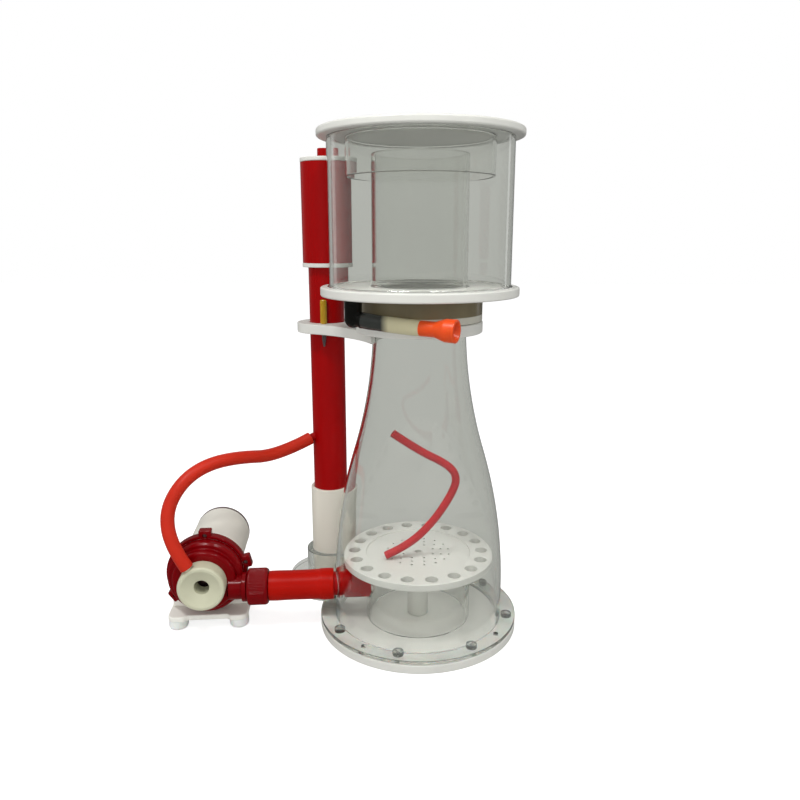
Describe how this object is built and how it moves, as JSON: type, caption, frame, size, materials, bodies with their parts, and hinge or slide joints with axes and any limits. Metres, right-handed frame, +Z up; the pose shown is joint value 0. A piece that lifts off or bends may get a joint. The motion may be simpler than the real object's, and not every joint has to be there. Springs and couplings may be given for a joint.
{
  "type": "protein skimmer",
  "caption": "In-sump protein skimmer: clear bell-shaped reaction chamber on a screwed base, foam collection cup with lid and drain, standpipe with air silencer, and a needle-wheel pump.",
  "frame": {"origin": "centre of the underside of the base plate, where the chamber's axis meets the floor", "axes": "+Z up along the chamber's axis, +Y towards the back (standpipe side), +X away from the pump"},
  "size_m": [0.4282, 0.263, 0.5682],
  "materials": {
    "white_pvc": "satin white rigid plastic",
    "clear_acrylic": "polished clear acrylic",
    "red_pvc": "satin deep red rigid plastic",
    "crimson_plastic": "glossy dark crimson moulded plastic",
    "cream_plastic": "satin cream moulded plastic",
    "red_silicone": "soft semi-matt orange-red silicone",
    "dark_rubber": "matt dark rubber",
    "white_rubber": "soft white rubber",
    "clear_screw": "translucent plastic screw",
    "steel": "stainless steel",
    "black_plastic": "glossy black plastic",
    "grey_plastic": "dark grey plastic",
    "amber_plastic": "glossy amber plastic",
    "orange_rubber": "bright orange soft plastic",
    "clear_hose": "yellowish clear soft tube",
    "olive_plastic": "glossy dark olive plastic",
    "grey_foam": "open-cell foam",
    "ceramic": "polished ceramic"
  },
  "bodies": {
    "chamber": {"base_plate": "white_pvc", "base_gasket": "white_rubber", "chamber_flange": "clear_acrylic", "flange_screws": "clear_screw", "reaction_chamber": "clear_acrylic", "diffuser_tube": "clear_acrylic", "centre_post": "white_pvc", "bubble_plate": "white_pvc", "inlet_pipe": "red_pvc", "neck_ring": "white_pvc", "support_arm": "white_pvc", "arm_pin": "grey_plastic", "arm_pin_cap": "amber_plastic", "outlet_foot": "clear_acrylic", "outlet_duct": "clear_acrylic", "outlet_socket": "clear_acrylic", "outlet_tube": "white_pvc", "standpipe": "red_pvc", "air_port": "red_pvc", "intake_nozzle": "cream_plastic", "air_nipple": "cream_plastic", "volute": "crimson_plastic", "volute_seal": "dark_rubber", "clamp_ring": "crimson_plastic", "clamp_screws": "steel", "front_bearing": "ceramic", "rear_bearing": "dark_rubber", "motor_housing": "cream_plastic", "motor_end_cap": "grey_plastic", "cable_gland": "black_plastic", "hose_tail": "crimson_plastic", "pump_hose": "red_silicone", "bracket_upright": "white_pvc", "bracket_plate": "white_pvc", "bracket_feet": "white_rubber", "air_hose": "red_silicone", "spare_hose": "red_silicone"},
    "seal": {"neck_seal": "dark_rubber"},
    "cup": {"cup_collar": "olive_plastic", "cup_plate": "white_pvc", "cup_wall": "clear_acrylic", "foam_riser": "clear_acrylic", "drain_elbow": "black_plastic", "drain_hose": "clear_hose"},
    "plug": {"drain_plug": "orange_rubber"},
    "lid": {"lid": "white_pvc", "lid_collar": "clear_acrylic"},
    "silencer": {"silencer_ring": "white_pvc", "silencer_sleeve": "red_pvc", "silencer_cap": "white_pvc", "silencer_foam": "grey_foam"},
    "valve": {"air_valve_knob": "red_pvc"},
    "rotor": {"impeller": "grey_plastic", "rotor_shaft": "ceramic", "rotor_magnet": "grey_plastic"},
    "nut": {"union_nut": "crimson_plastic"}
  },
  "joints": [
    {"name": "cup_lift", "type": "slide", "parent": "chamber", "child": "seal", "axis": [0, 0, 1], "range_m": [0, 0.06]},
    {"name": "cup_turn", "type": "hinge", "parent": "seal", "child": "cup", "pos_m": [0, 0, 0.38], "axis": [0, 0, 1], "range_deg": [-100, 150]},
    {"name": "lid_lift", "type": "slide", "parent": "cup", "child": "lid", "axis": [0, 0, 1], "range_m": [0, 0.08]},
    {"name": "plug_pull", "type": "slide", "parent": "cup", "child": "plug", "axis": [0.9163, -0.3993, -0.0301], "range_m": [0, 0.03]},
    {"name": "silencer_lift", "type": "slide", "parent": "chamber", "child": "silencer", "axis": [0, 0, 1], "range_m": [0, 0.03]},
    {"name": "air_valve_turn", "type": "hinge", "parent": "silencer", "child": "valve", "pos_m": [-0.1153, 0.09, 0.549], "axis": [0, 0, 1], "range_deg": [0, 270]},
    {"name": "rotor_spin", "type": "hinge", "parent": "chamber", "child": "rotor", "pos_m": [-0.25359, -0.0073, 0.066], "axis": [-0.1097, 0.994, 0], "continuous": true},
    {"name": "union_nut_turn", "type": "hinge", "parent": "chamber", "child": "nut", "pos_m": [-0.18889, -0.02833, 0.054], "axis": [0.994, 0.1097, 0], "range_deg": [0, 360]}
  ]
}
